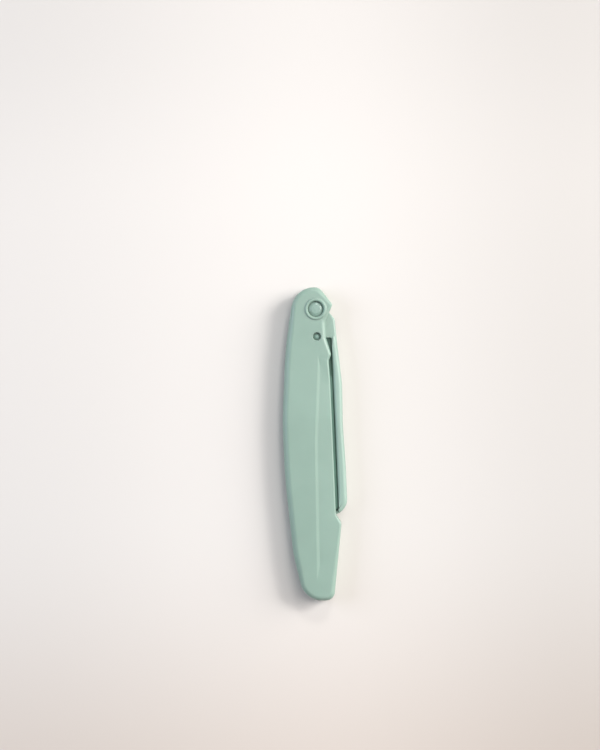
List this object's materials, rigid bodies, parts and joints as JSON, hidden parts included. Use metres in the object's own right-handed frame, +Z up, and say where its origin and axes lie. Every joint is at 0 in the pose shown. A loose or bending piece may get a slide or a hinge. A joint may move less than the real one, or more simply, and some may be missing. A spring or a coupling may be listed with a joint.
{
  "type": "folding eyebrow razor",
  "caption": "Slim folding eyebrow razor with a leaf-shaped plastic handle, a round pivot and a guarded steel blade that folds into the handle's slot.",
  "frame": {"origin": "under the middle of the folded razor's box, on the surface that it lies on", "axes": "+Y towards the pivot end, +X towards the slot and the head's back, +Z up out of the front face"},
  "size_m": [0.0212, 0.108, 0.008],
  "materials": {
    "mint_plastic": "mint green moulded plastic, soft gloss",
    "rivet_plastic": "mint green moulded plastic, soft gloss",
    "head_plastic": "mint green moulded plastic, soft gloss",
    "guard_plastic": "pale mint moulded plastic, smooth",
    "blade_steel": "stainless strip, ground edge",
    "rivet_steel": "small domed steel rivet heads"
  },
  "bodies": {
    "handle": {"front_shell": "mint_plastic", "back_shell": "mint_plastic", "pivot_barrel": "rivet_plastic", "pivot_pin": "rivet_plastic", "stop_pin": "rivet_plastic"},
    "head": {"head_frame": "head_plastic", "blade": "blade_steel", "guard_comb": "guard_plastic", "blade_keeper": "head_plastic", "keeper_rivets": "rivet_steel"}
  },
  "joints": [
    {"name": "head_fold", "type": "hinge", "parent": "handle", "child": "head", "pos_m": [0.0025, 0.04645, 0], "axis": [0, 0, 1], "range_deg": [0, 180]}
  ]
}
